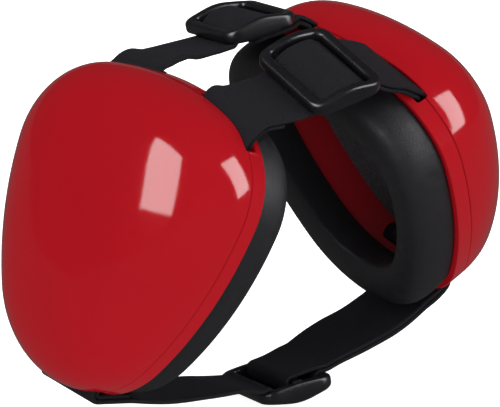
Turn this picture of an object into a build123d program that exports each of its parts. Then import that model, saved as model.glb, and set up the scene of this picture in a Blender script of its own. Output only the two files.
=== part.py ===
"""Strap-held ear muff: two padded cups joined by three elastic webbing straps.

Frame: millimetres, +Z up, X from ear to ear (left cup at -X), -Y towards the face.
Each cup has its own plane: u runs front to back, v runs up the cup, n points outwards,
with n = 0 where the cushion meets the rim ring.
"""
from build123d import *
from math import asin, atan2, cos, degrees, hypot, pi, radians, sin, sqrt, tan
import os

# --- cup outline: a rounded triangle of six tangent arcs, wide edge up
CUP_HEIGHT = 96.0
BOTTOM_R = 32.4
CORNER_R = 25.8
CORNER_U = 18.65
SIDE_R = 111.9
TOP_R = 104.6
HALF_HEIGHT = CUP_HEIGHT / 2

# --- cup position: canted so that the tops lean together
CUP_CANT = 23.5
CUP_OFFSET = 44.35
LIFT = 2.5

# --- shells
SEAM_N = 5.5
DOME_N = 34.3
WALL = 2.2
SEAM_GAP = 0.1
DOME_POWER_K = 2.59
DOME_POWER_N = 2.27
DOME_CENTRE_V = 5.0
DOME_SECTIONS = 9
DOME_LAST = 0.955

# --- cushion
CUSHION_T = 14.0
CUSHION_INSET = 1.9
CUSHION_ROUND = 4.8
COVER_T = 1.2
BACKING_T = 1.6
OPENING_FRONT = 0.66
OPENING_BACK = 0.785
BACKING_SCALE_GAP = 0.01

# --- cushion plate, liner, screws
FLANGE_T = 2.9
COLLAR_INSET = 7.6
COLLAR_WALL = 1.3
COLLAR_N = 10.5
FIT_GAP = 0.1
LINER_INSET = 9.2
LINER_T = 10.0
LINER_DISH = 5.0
DISH_RIM_INSET = 3.0
DISH_RIM_SCALE = 0.9
DISH_FLOOR_INSET = 6.0
DISH_FLOOR_SCALE = 0.6
SCREW_INSET = 4.0
SCREW_BOSS_R = 2.1
SCREW_R = 1.0
SCREW_HEAD_R = 1.8
SCREW_HEAD_T = 1.3
SCREW_LENGTH = 8.0
BOSS_TOP_N = 13.5
SCREW_V = (14.0, -12.0)

# --- straps
WEB_WIDTH = 25.0
WEB_T = 1.5
LAYER_GAP = 0.2
LAYER_STEP = WEB_T + LAYER_GAP
HEM_LENGTH = 11.0
LAP = 3.0
SLOT_LENGTH = 27.5
SLOT_SLOPE = 19.3
SLOT_U = 23.3
SLOT_V = 43.6
TOP_BULGE = 1.5
BEND_OUT = 2.6
CHIN_BEND_OUT = 4.6
SLOT_CUT = 9.0
SLOT_LOW_N = 2.4
SLOT_HIGH_N = 9.6
BAR_R = 1.25
BAR_LENGTH = 34.0
BAR_DEPTH = 6.2
BAR_N = 6.9
BAR_POST = 3.4
POST_DEPTH = 9.5
POCKET_LENGTH = 36.0
POCKET_INSET = 9.8
LOOP_R = BAR_R + 0.6 + WEB_T / 2
MOUTH_RISE = 0.3
HEM_BEND_R = 1.2
LOOP_CORNER_R = LOOP_R - 0.05
OUTER_BEND_R = 2.4
FLAT_BEND_R = 8.0
FLAT_MARGIN = 2.0
RETURN_GAP = 4.8
FRONT_FLAT = 5.35
REAR_FLAT = 3.0
CHIN_FLAT_Z = -54.5

# --- sliders (tri-glides)
SLIDER_LENGTH = 32.0
SLIDER_WIDTH = 24.5
SLIDER_T = 2.2
SLIDER_CORNER = 4.5
RAIL_W = 2.9
SIDE_BAR_W = 3.6
MIDDLE_BAR_W = 3.4
BAR_CLEARANCE = 0.3
FRONT_SLIDER_X = 2.0
REAR_SLIDER_X = 12.0
CHIN_SLIDER_X = 8.0


def outline_arcs():
    """Centre, radius, start angle and end angle of each arc, anticlockwise from the bottom."""
    bottom = Vector(0, BOTTOM_R - HALF_HEIGHT)
    corner_v = HALF_HEIGHT - TOP_R + sqrt((TOP_R - CORNER_R) ** 2 - CORNER_U**2)
    corner = Vector(CORNER_U, corner_v)
    # the side arc holds both end circles, so its centre is a known distance from each
    span = corner - bottom
    to_bottom = SIDE_R - BOTTOM_R
    to_corner = SIDE_R - CORNER_R
    along = (to_bottom**2 - to_corner**2 + span.length**2) / (2 * span.length)
    across = sqrt(to_bottom**2 - along**2)
    side = bottom + span.normalized() * along + Vector(-span.Y, span.X).normalized() * across
    low = degrees(atan2(bottom.Y - side.Y, bottom.X - side.X))
    high = degrees(atan2(corner.Y - side.Y, corner.X - side.X))
    crown = degrees(atan2(corner.Y - HALF_HEIGHT + TOP_R, corner.X))
    return [
        (bottom, BOTTOM_R, -180 - low, low),
        (side, SIDE_R, low, high),
        (corner, CORNER_R, high, crown),
        (Vector(0, HALF_HEIGHT - TOP_R), TOP_R, crown, 180 - crown),
        (Vector(-corner.X, corner.Y), CORNER_R, 180 - crown, 180 - high),
        (Vector(-side.X, side.Y), SIDE_R, 180 - high, 180 - low),
    ]


OUTLINE = outline_arcs()


def cup_outline(inset=0.0, scale=1.0, mode=Mode.ADD):
    """Face of the cup outline, moved inwards and then scaled about the dome's centre."""
    pivot = Vector(0, DOME_CENTRE_V)
    with BuildLine() as outline:
        for centre, radius, start, end in OUTLINE:
            CenterArc(pivot + (centre - pivot) * scale, (radius - inset) * scale, start, end - start)
    make_face(outline.edges(), mode=mode)


def dome(plane, inset):
    """Solid dome on the seam, from sections of the outline that shrink as a superellipse."""
    height = DOME_N - SEAM_N - inset
    with BuildPart() as solid:
        for i in range(DOME_SECTIONS):
            angle = pi / 2 * DOME_LAST * i / (DOME_SECTIONS - 1)
            with BuildSketch(plane.offset(SEAM_N + height * sin(angle) ** (2 / DOME_POWER_N))):
                cup_outline(inset, cos(angle) ** (2 / DOME_POWER_K))
        loft()
    return solid.part


def slot_places():
    """Middle of each slot's chord in the cup plane with its slope: front, rear and bottom."""
    chord_v = BOTTOM_R - HALF_HEIGHT - sqrt(BOTTOM_R**2 - SLOT_LENGTH**2 / 4)
    return [(-SLOT_U, SLOT_V, SLOT_SLOPE), (SLOT_U, SLOT_V, -SLOT_SLOPE), (0, chord_v, 0)]


def beside_slot(slot, along, depth):
    """Point a distance along a slot's chord from its middle and a depth into the cup."""
    u, v, slope = slot
    inward = -depth if v > 0 else depth
    cos_slope = cos(radians(slope))
    sin_slope = sin(radians(slope))
    return (u + along * cos_slope - inward * sin_slope, v + along * sin_slope + inward * cos_slope)


def screw_places():
    """Screw centres, a fixed distance inside the side arcs."""
    centre, radius = OUTLINE[1][:2]
    places = []
    for v in SCREW_V:
        angle = asin((v - centre.Y) / (radius - SCREW_INSET))
        u = centre.X + (radius - SCREW_INSET) * cos(angle)
        places += [(u, v), (-u, v)]
    return places


def cut_slots(plane):
    """Take the three strap slots out of the part being built."""
    for u, v, slope in slot_places():
        with BuildSketch(plane.offset(SLOT_LOW_N)) as slot:
            with Locations((u, v)):
                Rectangle(SLOT_LENGTH, SLOT_CUT, rotation=slope)
        extrude(slot.sketch, amount=SLOT_HIGH_N - SLOT_LOW_N, mode=Mode.SUBTRACT)


def build_bosses(plane, outer):
    """Screw bosses and bar posts, trimmed to the inside of the cup and clear of its middle."""
    with BuildPart() as bosses:
        with BuildSketch(plane.offset(SEAM_N)):
            for slot in slot_places():
                for end in (-1, 1):
                    reach = end * (SLOT_LENGTH + BAR_POST) / 2
                    with Locations(beside_slot(slot, reach, POST_DEPTH / 2 - WALL)):
                        Rectangle(BAR_POST, POST_DEPTH + 2 * WALL, rotation=slot[2])
        extrude(amount=BAR_N - SEAM_N + 2 * BAR_R)
        with BuildSketch(plane.offset(FLANGE_T + 2 * FIT_GAP)):
            with Locations(*screw_places()):
                Circle(SCREW_BOSS_R)
        extrude(amount=BOSS_TOP_N - FLANGE_T)
    with BuildPart() as limit:
        add(outer)
        with BuildSketch(plane):
            cup_outline(WALL + FIT_GAP)
        extrude(amount=SEAM_N)
    return bosses.part & limit.part


def build_outer_shell(plane):
    """Domed cover with screw bosses and posts that hold the strap bars."""
    outer = dome(plane, 0.0)
    with BuildPart() as shell:
        add(outer)
        add(dome(plane, WALL), mode=Mode.SUBTRACT)
        add(build_bosses(plane, outer))
        cut_slots(plane)
        for slot in slot_places():
            strap_bar(plane, slot, BAR_R + FIT_GAP / 2, Mode.SUBTRACT)
        with BuildSketch(plane):
            with Locations(*screw_places()):
                Circle(SCREW_R)
        extrude(amount=SCREW_LENGTH + FLANGE_T, mode=Mode.SUBTRACT)
    return shell.part


def strap_bar(plane, slot, radius, mode):
    """Straight round bar behind a slot, parallel to its chord."""
    middle = plane.from_local_coords((*beside_slot(slot, 0, BAR_DEPTH), BAR_N))
    end = plane.from_local_coords((*beside_slot(slot, 1, BAR_DEPTH), BAR_N))
    with BuildSketch(Plane(middle, x_dir=plane.z_dir, z_dir=end - middle)) as section:
        Circle(radius)
    extrude(section.sketch, amount=BAR_LENGTH / 2, both=True, mode=mode)


def build_rim_ring(plane):
    """Narrow ring between the dome and the cushion."""
    with BuildPart() as ring:
        with BuildSketch(plane):
            cup_outline()
            cup_outline(WALL, mode=Mode.SUBTRACT)
        extrude(amount=SEAM_N - SEAM_GAP)
        cut_slots(plane)
    return ring.part


def pocket_rectangles(wall):
    """One rectangle behind each slot, from the slot's chord to the pocket's inner wall."""
    depth = POCKET_INSET + wall
    for slot in slot_places():
        with Locations(beside_slot(slot, 0, depth / 2)):
            Rectangle(POCKET_LENGTH + 2 * wall, depth, rotation=slot[2])


def build_cushion_plate(plane):
    """Flange that carries the cushion, with the collar seen through the opening."""
    with BuildPart() as plate:
        with BuildSketch(plane.offset(FIT_GAP)):
            cup_outline(WALL + FIT_GAP)
        extrude(amount=FLANGE_T)
        with BuildSketch(plane.offset(FIT_GAP)):
            cup_outline(COLLAR_INSET - COLLAR_WALL)
        extrude(amount=COLLAR_N)
        with BuildSketch(plane):
            cup_outline(COLLAR_INSET)
        extrude(amount=COLLAR_N + 1, mode=Mode.SUBTRACT)
        # the collar steps inwards round each strap bar, as a pocket for the webbing's loop
        with BuildSketch(plane.offset(FIT_GAP)) as pockets:
            pocket_rectangles(COLLAR_WALL)
            cup_outline(COLLAR_INSET - COLLAR_WALL, mode=Mode.INTERSECT)
        extrude(pockets.sketch, amount=COLLAR_N)
        with BuildSketch(plane.offset(FLANGE_T + FIT_GAP)) as gates:
            pocket_rectangles(0.0)
        extrude(gates.sketch, amount=COLLAR_N, mode=Mode.SUBTRACT)
        with BuildSketch(plane):
            with Locations(*screw_places()):
                Circle(SCREW_R + FIT_GAP)
        extrude(amount=FLANGE_T + 1, mode=Mode.SUBTRACT)
        with BuildSketch(plane):
            with Locations(*screw_places()):
                Circle(SCREW_HEAD_R + FIT_GAP)
        extrude(amount=FIT_GAP + SCREW_HEAD_T, mode=Mode.SUBTRACT)
    return plate.part


def build_screws(plane):
    """Four countersunk-flush self-tapping screws that hold the plate to the shell."""
    with BuildPart() as screws:
        with BuildSketch(plane.offset(FIT_GAP)):
            with Locations(*screw_places()):
                Circle(SCREW_HEAD_R)
        extrude(amount=SCREW_HEAD_T)
        with BuildSketch(plane.offset(FIT_GAP)):
            with Locations(*screw_places()):
                Circle(SCREW_R)
        extrude(amount=SCREW_LENGTH)
    return screws.part


def build_strap_bars(plane):
    """Three steel bars that the webbing loops round."""
    with BuildPart() as bars:
        for slot in slot_places():
            strap_bar(plane, slot, BAR_R, Mode.ADD)
    return bars.part


def cushion_ring(plane, skin, back):
    """Padded ring with a rounded front, a skin thickness inside the cushion's surface."""
    front = CUSHION_T - skin
    inset = CUSHION_INSET + skin
    centre_skin = skin / HALF_HEIGHT
    with BuildPart() as ring:
        with BuildSketch(plane.offset(-front)):
            cup_outline(inset)
        extrude(amount=front - back)
        fillet(ring.faces().sort_by(Axis(plane.origin, plane.z_dir))[0].edges(), CUSHION_ROUND - skin)
        with BuildSketch(plane.offset(-CUSHION_T)):
            cup_outline(0, OPENING_FRONT + centre_skin)
        with BuildSketch(plane.offset(1)):
            cup_outline(0, OPENING_BACK + centre_skin)
        loft(mode=Mode.SUBTRACT)
    return ring.part


def build_cushion_backing(plane):
    """Stiff ring that the cushion's cover is welded to."""
    with BuildPart() as backing:
        with BuildSketch(plane.offset(-BACKING_T)):
            cup_outline(CUSHION_INSET + COVER_T + FIT_GAP)
            cup_outline(0, OPENING_BACK + COVER_T / HALF_HEIGHT + BACKING_SCALE_GAP, Mode.SUBTRACT)
        extrude(amount=BACKING_T - FIT_GAP)
    return backing.part


def build_foam_liner(plane):
    """Sound-absorbing foam insert with a dished face, held behind the collar."""
    with BuildPart() as liner:
        with BuildSketch(plane.offset(COLLAR_N + FIT_GAP)):
            cup_outline(LINER_INSET)
        extrude(amount=LINER_T)
        with BuildSketch(plane.offset(COLLAR_N)):
            cup_outline(LINER_INSET + DISH_RIM_INSET, DISH_RIM_SCALE)
        with BuildSketch(plane.offset(COLLAR_N + LINER_DISH)):
            cup_outline(LINER_INSET + DISH_FLOOR_INSET, DISH_FLOOR_SCALE)
        loft(mode=Mode.SUBTRACT)
    return liner.part


def shifted(point, direction, distance):
    """Point moved a distance along a unit direction, all in a strap's profile plane."""
    return (point[0] + direction[0] * distance, point[1] + direction[1] * distance)


def loop_points(profile, flat_point, outer_side):
    """Points of the right-hand loop: outer layer over the slot's edge, round the bar, inner layer."""
    slot, bend, bar = profile
    run = hypot(bar[0] - slot[0], bar[1] - slot[1])
    inward = ((bar[0] - slot[0]) / run, (bar[1] - slot[1]) / run)
    bar_side = (abs(inward[1]), inward[0] if inward[1] < 0 else -inward[0])
    outer_bend = shifted(bend, bar_side, LAYER_STEP / 2)
    leg = hypot(flat_point[0] - outer_bend[0], flat_point[1] - outer_bend[1])
    leg_side = (
        outer_side * (flat_point[1] - outer_bend[1]) / leg,
        outer_side * (outer_bend[0] - flat_point[0]) / leg,
    )
    # the inner layer keeps its distance from both legs of the outer one
    corner = (bar_side[0] + leg_side[0], bar_side[1] + leg_side[1])
    mitre = LAYER_STEP / (1 + bar_side[0] * leg_side[0] + bar_side[1] * leg_side[1])
    return [
        outer_bend,
        shifted(shifted(bar, bar_side, LOOP_R), inward, LOOP_R),
        shifted(shifted(bar, bar_side, -LOOP_R), inward, LOOP_R),
        shifted(outer_bend, corner, -mitre),
    ]


def build_strap(plane, lean, profile, flat_height, slider_x, outer_side):
    """Webbing strap as one ribbon: hem, left bar, slider, right bar, back to the slider.

    Each half is extruded along its own slot, which leans by the lean per unit of width.
    """
    flat_half = SLIDER_WIDTH / 2 + FLAT_MARGIN
    right = loop_points(profile, (slider_x + flat_half, flat_height), outer_side)
    mirrored = loop_points(profile, (flat_half - slider_x, flat_height), outer_side)
    left = [(-x, y) for x, y in reversed(mirrored)]
    inner_height = flat_height - outer_side * LAYER_STEP
    slope = (flat_height - left[3][1]) / (slider_x - flat_half - left[3][0])
    hem_end = shifted(left[0], (1, slope), HEM_LENGTH)
    radii = [HEM_BEND_R, LOOP_CORNER_R, LOOP_CORNER_R, OUTER_BEND_R, FLAT_BEND_R]
    middle = (slider_x, flat_height)
    left_points = [hem_end] + left + [(slider_x - flat_half, flat_height), shifted(middle, (1, 0), LAP)]
    right_points = [shifted(middle, (-1, 0), LAP), (slider_x + flat_half, flat_height)] + right
    right_points += [(slider_x + flat_half, inner_height), (slider_x + RETURN_GAP, inner_height)]
    with BuildPart() as strap:
        for points, half_radii, skew in (
            (left_points, radii, lean),
            (right_points, radii[::-1] + [FLAT_BEND_R], -lean),
        ):
            with BuildSketch(plane) as ribbon:
                with BuildLine() as route:
                    FilletPolyline(*points, radius=half_radii)
                for run in route.edges():
                    trace(run, line_width=WEB_T)
            across = Vector(*plane.z_dir) + Vector(skew, 0, 0)
            extrude(ribbon.sketch, amount=WEB_WIDTH / 2 * across.length, dir=across, both=True)
    return strap.part


def build_slider(plane):
    """Tri-glide on a plane that lies in the webbing, with z pointing to its outer face."""
    over = WEB_T / 2 + BAR_CLEARANCE
    window = SLIDER_LENGTH - 2 * RAIL_W
    with BuildPart() as slider:
        with BuildSketch(plane.offset(-over - SLIDER_T)):
            RectangleRounded(SLIDER_WIDTH, SLIDER_LENGTH, SLIDER_CORNER)
        extrude(amount=2 * over + 2 * SLIDER_T)
        with BuildSketch(plane.offset(-over - SLIDER_T)):
            Rectangle(SLIDER_WIDTH, window)
        extrude(amount=2 * over + SLIDER_T, mode=Mode.SUBTRACT)
        with BuildSketch(plane.offset(over)):
            Rectangle(SLIDER_WIDTH - 2 * SIDE_BAR_W, window)
        extrude(amount=SLIDER_T, mode=Mode.SUBTRACT)
        with BuildSketch(plane.offset(-over - SLIDER_T)):
            Rectangle(MIDDLE_BAR_W, SLIDER_LENGTH - RAIL_W)
        extrude(amount=SLIDER_T)
        # end rails dip below the side bars only in the middle, where they carry the middle bar
        for side in (-1, 1):
            with BuildSketch(plane.offset(-over - SLIDER_T)):
                with Locations((side * SLIDER_WIDTH / 2, 0)):
                    Rectangle(2 * SIDE_BAR_W, SLIDER_LENGTH)
            extrude(amount=SLIDER_T + over / 2, mode=Mode.SUBTRACT)
    return slider.part


def finish(part, name):
    """Label a finished piece and write it."""
    part.label = name
    export_step(part, f"parts/{name}.step")


def cup_plane(side):
    """Working plane of one cup, side -1 for left and +1 for right."""
    cant = radians(CUP_CANT)
    normal = (side * cos(cant), 0, sin(cant))
    return Plane((side * CUP_OFFSET, 0, LIFT), x_dir=(0, side, 0), z_dir=normal)


def build_cup(side):
    """Make and write every piece of one cup."""
    name = "left" if side < 0 else "right"
    plane = cup_plane(side)
    foam = cushion_ring(plane, COVER_T, BACKING_T)
    cover = cushion_ring(plane, 0.0, FIT_GAP) - foam - build_cushion_backing(plane)
    finish(build_outer_shell(plane), f"{name}_outer_shell")
    finish(build_rim_ring(plane), f"{name}_rim_ring")
    finish(build_cushion_plate(plane), f"{name}_cushion_plate")
    finish(build_cushion_backing(plane), f"{name}_cushion_backing")
    finish(foam, f"{name}_cushion_foam")
    finish(cover, f"{name}_cushion_cover")
    finish(build_foam_liner(plane), f"{name}_foam_liner")
    finish(build_strap_bars(plane), f"{name}_strap_bars")
    finish(build_screws(plane), f"{name}_plate_screws")


def strap_profile(plane, lean, slot, bulge, bend_out):
    """Slot's mouth, bend and bar of the right cup in a strap's profile plane."""
    mouth_n = SEAM_N + MOUTH_RISE
    points = []
    for depth, n in ((-bulge, mouth_n), (-bulge - bend_out, mouth_n + MOUTH_RISE), (BAR_DEPTH, BAR_N)):
        world = cup_plane(1).from_local_coords((*beside_slot(slot, 0, depth), n))
        local = plane.to_local_coords(world)
        points.append((local.X + lean * local.Z, local.Y))
    return points


def build_top_strap(name, face_side, flat_height, slider_x):
    """Front (face_side -1) or rear (+1) strap with its slider."""
    slope = radians(SLOT_SLOPE)
    tilt = atan2(sin(slope) * cos(radians(CUP_CANT)), cos(slope))
    origin_z = cup_plane(1).from_local_coords((0, SLOT_V, SEAM_N)).Z
    across = Vector(0, -cos(tilt), face_side * sin(tilt))
    plane = Plane((0, face_side * SLOT_U, origin_z), x_dir=(1, 0, 0), z_dir=across)
    lean = face_side * sin(radians(CUP_CANT)) * tan(slope) * cos(tilt)
    slot = slot_places()[0 if face_side < 0 else 1]
    profile = strap_profile(plane, lean, slot, TOP_BULGE, BEND_OUT)
    strap = build_strap(plane, lean, profile, flat_height, slider_x, 1)
    finish(strap, f"{name}_strap")
    centre = plane.from_local_coords((slider_x, flat_height, 0))
    finish(build_slider(Plane(centre, x_dir=(1, 0, 0), z_dir=plane.y_dir)), f"{name}_slider")


def build_chin_strap(flat_z, slider_x):
    """Chin strap with its slider, which faces down and outwards."""
    plane = Plane((0, 0, 0), x_dir=(1, 0, 0), z_dir=(0, -1, 0))
    slot = slot_places()[2]
    profile = strap_profile(plane, 0.0, slot, HALF_HEIGHT + slot[1], CHIN_BEND_OUT)
    finish(build_strap(plane, 0.0, profile, flat_z, slider_x, -1), "chin_strap")
    finish(build_slider(Plane((slider_x, 0, flat_z), x_dir=(1, 0, 0), z_dir=(0, 0, -1))), "chin_slider")


os.makedirs("parts", exist_ok=True)
build_cup(-1)
build_cup(1)
build_top_strap("front", -1, FRONT_FLAT, FRONT_SLIDER_X)
build_top_strap("rear", 1, REAR_FLAT, REAR_SLIDER_X)
build_chin_strap(CHIN_FLAT_Z, CHIN_SLIDER_X)
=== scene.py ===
"""Looks of the strap-held ear muff: glossy cups, padded cushions, woven straps and sliders.

Shapes are worked out in the CAD model's millimetres and become metres when a mesh is made.
A cup has its own coordinates: u front to back, v up the cup, n outwards from the cushion plane.
A strap has a profile: x from ear to ear and y outwards, both in millimetres.
"""

from math import atan2, cos, degrees, hypot, pi, radians, sin, sqrt, tan

import bpy
import numpy as np
from mathutils import Matrix, Vector


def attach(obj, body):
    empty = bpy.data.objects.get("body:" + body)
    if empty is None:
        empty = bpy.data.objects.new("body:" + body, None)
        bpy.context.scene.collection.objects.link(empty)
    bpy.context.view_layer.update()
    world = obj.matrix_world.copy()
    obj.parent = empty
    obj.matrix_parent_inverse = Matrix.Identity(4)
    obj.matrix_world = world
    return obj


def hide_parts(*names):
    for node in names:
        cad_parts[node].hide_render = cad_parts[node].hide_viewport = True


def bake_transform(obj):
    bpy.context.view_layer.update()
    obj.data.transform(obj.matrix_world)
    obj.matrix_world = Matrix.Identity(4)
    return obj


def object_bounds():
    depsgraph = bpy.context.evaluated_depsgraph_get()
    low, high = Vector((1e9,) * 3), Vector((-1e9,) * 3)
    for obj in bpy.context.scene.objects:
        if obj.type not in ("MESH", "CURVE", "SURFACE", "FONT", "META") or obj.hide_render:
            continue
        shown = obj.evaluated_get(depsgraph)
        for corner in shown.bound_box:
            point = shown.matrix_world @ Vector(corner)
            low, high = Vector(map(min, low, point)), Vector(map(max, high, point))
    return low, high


MM = 0.001

# --- camera
CAMERA_PLACE = (-0.922889, -1.07477, 0.644026)
CAMERA_AZIMUTH = 40.6
CAMERA_DOWN = 24.4
CAMERA_ROLL = 2.2
CAMERA_LENS = 374.64
SENSOR = 36.0

# --- cup outline and place, as in the CAD model
CUP_HEIGHT = 96.0
BOTTOM_R = 32.4
CORNER_R = 25.8
CORNER_U = 18.65
SIDE_R = 111.9
TOP_R = 104.6
HALF_HEIGHT = CUP_HEIGHT / 2
CUP_CANT = radians(23.5)
CUP_OFFSET = 44.35
LIFT = 2.5

# --- shells
SEAM_N = 5.5
DOME_N = 34.3
WALL = 2.2
RING_TOP = 5.35
DOME_POWER_K = 2.59
DOME_POWER_N = 2.27
DOME_CENTRE_V = 5.0
DOME_ROWS = 60
POLE_ANGLE = 1.566
INNER_ROWS = 16
LIP_ROUND = 0.25

# --- slots
SLOT_LENGTH = 27.5
SLOT_SLOPE = 19.3
SLOT_U = 23.3
SLOT_V = 43.6
SLOT_LOW_N = 2.4
SLOT_HIGH_N = 6.5
SLOT_CORNER = 1.2
COLUMN_STEP = 1.25
OUTLINE_SAMPLES = 40001
CLOSED_GAP = 0.05

# --- straps
WEB_WIDTH = 25.0
WEB_T = 1.5
LAYER_STEP = 1.6
BAR_DEPTH = 6.2
BAR_N = 6.9
LOOP_R = 2.6
ROUTE_STEP = 1.0
SECTION_FLAT = 22
HEM = 13.5
REAR_HEM = 2.5
JOIN_GAP = 1.0

# --- sliders
SLIDER_LENGTH = 32.0
SLIDER_WIDTH = 24.5
SLIDER_CORNER = 4.5
SIDE_BAR_W = 3.6
RAIL_W = 2.9
SIDE_LOW = 0.95
SIDE_HIGH = 4.6
RAIL_ARCH = 1.8
RAIL_LOW = 0.1
MIDDLE_LOW = -0.4
MIDDLE_HIGH = 2.4
MIDDLE_BAR_W = 3.4

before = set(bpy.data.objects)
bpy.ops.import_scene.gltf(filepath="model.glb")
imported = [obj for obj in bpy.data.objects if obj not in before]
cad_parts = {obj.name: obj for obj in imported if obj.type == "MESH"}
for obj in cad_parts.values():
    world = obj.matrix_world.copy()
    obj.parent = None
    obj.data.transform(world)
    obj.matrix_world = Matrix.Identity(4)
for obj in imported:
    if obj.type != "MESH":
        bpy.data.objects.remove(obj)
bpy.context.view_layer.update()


# ---------------------------------------------------------------- meshes
def add_mesh(name, points, faces, material, uvs=None, sharp=35):
    """Mesh object from points in millimetres, smooth but for edges sharper than the angle."""
    mesh = bpy.data.meshes.new(name)
    mesh.from_pydata((np.asarray(points) * MM).tolist(), [], faces)
    mesh.validate()
    mesh.shade_smooth()
    if sharp:
        mesh.set_sharp_from_angle(angle=radians(sharp))
    if uvs is not None:
        layer = mesh.uv_layers.new(name="UVMap")
        corners = np.empty(len(mesh.loops), dtype=np.int32)
        mesh.loops.foreach_get("vertex_index", corners)
        layer.data.foreach_set("uv", np.asarray(uvs, dtype=np.float32)[corners].ravel())
    mesh.materials.append(material)
    piece = bpy.data.objects.new(name, mesh)
    bpy.context.scene.collection.objects.link(piece)
    return piece


def stack_faces(rows, columns, loop=False):
    """Quads between stacked closed rows of points; a loop joins the last row to the first."""
    faces = []
    for i in range(rows if loop else rows - 1):
        low = i * columns
        high = (i + 1) % rows * columns
        for j in range(columns):
            k = (j + 1) % columns
            faces.append((low + j, low + k, high + k, high + j))
    return faces


def outward(points, faces):
    """Faces turned so that the closed mesh's volume is positive."""
    pts = np.asarray(points)
    fans = [(face[0], a, b) for face in faces for a, b in zip(face[1:-1], face[2:])]
    first, second, third = (pts[list(corner)] for corner in zip(*fans))
    volume = np.sum(first * np.cross(second, third))
    return faces if volume > 0 else [face[::-1] for face in faces]


# ---------------------------------------------------------------- cup outline
def outline_arcs():
    """Centre, radius, start angle and end angle of each arc, anticlockwise from the bottom."""
    bottom = Vector((0, BOTTOM_R - HALF_HEIGHT))
    corner_v = HALF_HEIGHT - TOP_R + sqrt((TOP_R - CORNER_R) ** 2 - CORNER_U**2)
    corner = Vector((CORNER_U, corner_v))
    span = corner - bottom
    to_bottom = SIDE_R - BOTTOM_R
    to_corner = SIDE_R - CORNER_R
    along = (to_bottom**2 - to_corner**2 + span.length**2) / (2 * span.length)
    across = sqrt(to_bottom**2 - along**2)
    side = bottom + span.normalized() * along + Vector((-span.y, span.x)).normalized() * across
    low = atan2(bottom.y - side.y, bottom.x - side.x)
    high = atan2(corner.y - side.y, corner.x - side.x)
    crown = atan2(corner.y - HALF_HEIGHT + TOP_R, corner.x)
    return [
        (bottom, BOTTOM_R, -pi - low, low),
        (side, SIDE_R, low, high),
        (corner, CORNER_R, high, crown),
        (Vector((0, HALF_HEIGHT - TOP_R)), TOP_R, crown, pi - crown),
        (Vector((-corner.x, corner.y)), CORNER_R, pi - crown, pi - high),
        (Vector((-side.x, side.y)), SIDE_R, pi - high, pi - low),
    ]


OUTLINE = outline_arcs()
ARC_LENGTHS = [radius * (end - start) for _, radius, start, end in OUTLINE]
OUTLINE_LENGTH = sum(ARC_LENGTHS)
PIVOT = np.array((0.0, DOME_CENTRE_V))


def outline(shares, inset=0.0, scale=1.0):
    """Points at shares of the outline's length, moved inwards, then scaled about the dome's centre."""
    ends = np.cumsum(ARC_LENGTHS)
    lengths = np.asarray(shares) % 1 * OUTLINE_LENGTH
    inset = np.broadcast_to(inset, lengths.shape)
    points = np.empty((len(lengths), 2))
    for arc, (centre, radius, start, _) in enumerate(OUTLINE):
        first = ends[arc] - ARC_LENGTHS[arc]
        here = (lengths >= first) & (lengths <= ends[arc])
        angles = start + (lengths[here] - first) / radius
        reach = radius - inset[here]
        points[here] = np.stack(
            [centre.x + reach * np.cos(angles), centre.y + reach * np.sin(angles)], axis=1
        )
    return PIVOT + (points - PIVOT) * np.reshape(scale, (-1, 1))


def slot_places():
    """Middle of each slot's chord in the cup plane with its slope: front, rear and bottom."""
    chord_v = BOTTOM_R - HALF_HEIGHT - sqrt(BOTTOM_R**2 - SLOT_LENGTH**2 / 4)
    slope = radians(SLOT_SLOPE)
    return [(-SLOT_U, SLOT_V, slope), (SLOT_U, SLOT_V, -slope), (0.0, chord_v, 0.0)]


def beside_slot(slot, along, depth):
    """Point a distance along a slot's chord from its middle and a depth into the cup."""
    u, v, slope = slot
    inward = -depth if v > 0 else depth
    return (u + along * cos(slope) - inward * sin(slope), v + along * sin(slope) + inward * cos(slope))


def slot_shares():
    """Shares of the outline's length where each slot starts and ends."""
    shares = np.linspace(0, 1, OUTLINE_SAMPLES)
    points = outline(shares)
    spans = []
    for u, v, slope in slot_places():
        offset = points - (u, v)
        along = offset @ (cos(slope), sin(slope))
        across = offset @ (-sin(slope), cos(slope))
        inside = np.flatnonzero((abs(across) < WEB_WIDTH / 2) & (abs(along) < SLOT_LENGTH / 2))
        spans.append((shares[inside[0]], shares[inside[-1]]))
    return sorted(spans)


def rim_columns():
    """Shares of the outline for a rim's columns, with how far each slot is open there, 0 to 1."""
    corner = SLOT_CORNER / OUTLINE_LENGTH
    thin = CLOSED_GAP / OUTLINE_LENGTH
    depth = SLOT_CORNER / (SEAM_N - SLOT_LOW_N)
    columns = []
    spans = slot_shares()
    for i, (start, end) in enumerate(spans):
        rounding = [0.0, 0.15, 0.4, 1.0]
        for r in rounding:
            columns.append((start + r * corner, 1 - depth * (1 - sqrt(1 - (1 - r) ** 2))))
        middle = round((end - start) * OUTLINE_LENGTH / COLUMN_STEP)
        for share in np.linspace(start + corner, end - corner, middle)[1:-1]:
            columns.append((share, 1.0))
        for r in reversed(rounding):
            columns.append((end - r * corner, 1 - depth * (1 - sqrt(1 - (1 - r) ** 2))))
        following = spans[(i + 1) % len(spans)][0] + (1 if i + 1 == len(spans) else 0)
        count = round((following - end) * OUTLINE_LENGTH / COLUMN_STEP)
        for share in np.linspace(end + thin, following - thin, count):
            columns.append((share, 0.0))
    shares, openings = np.array(columns).T
    return shares, openings


def from_cup(side, points):
    """Cup coordinates to the frame's, side -1 for the left cup and +1 for the right."""
    u, v, n = np.asarray(points).T
    return np.stack(
        [
            side * (CUP_OFFSET - sin(CUP_CANT) * v + cos(CUP_CANT) * n),
            side * u,
            LIFT + cos(CUP_CANT) * v + sin(CUP_CANT) * n,
        ],
        axis=1,
    )


def with_n(points, n):
    """Outline points with their n."""
    return np.column_stack([points, np.broadcast_to(n, len(points))])


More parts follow.
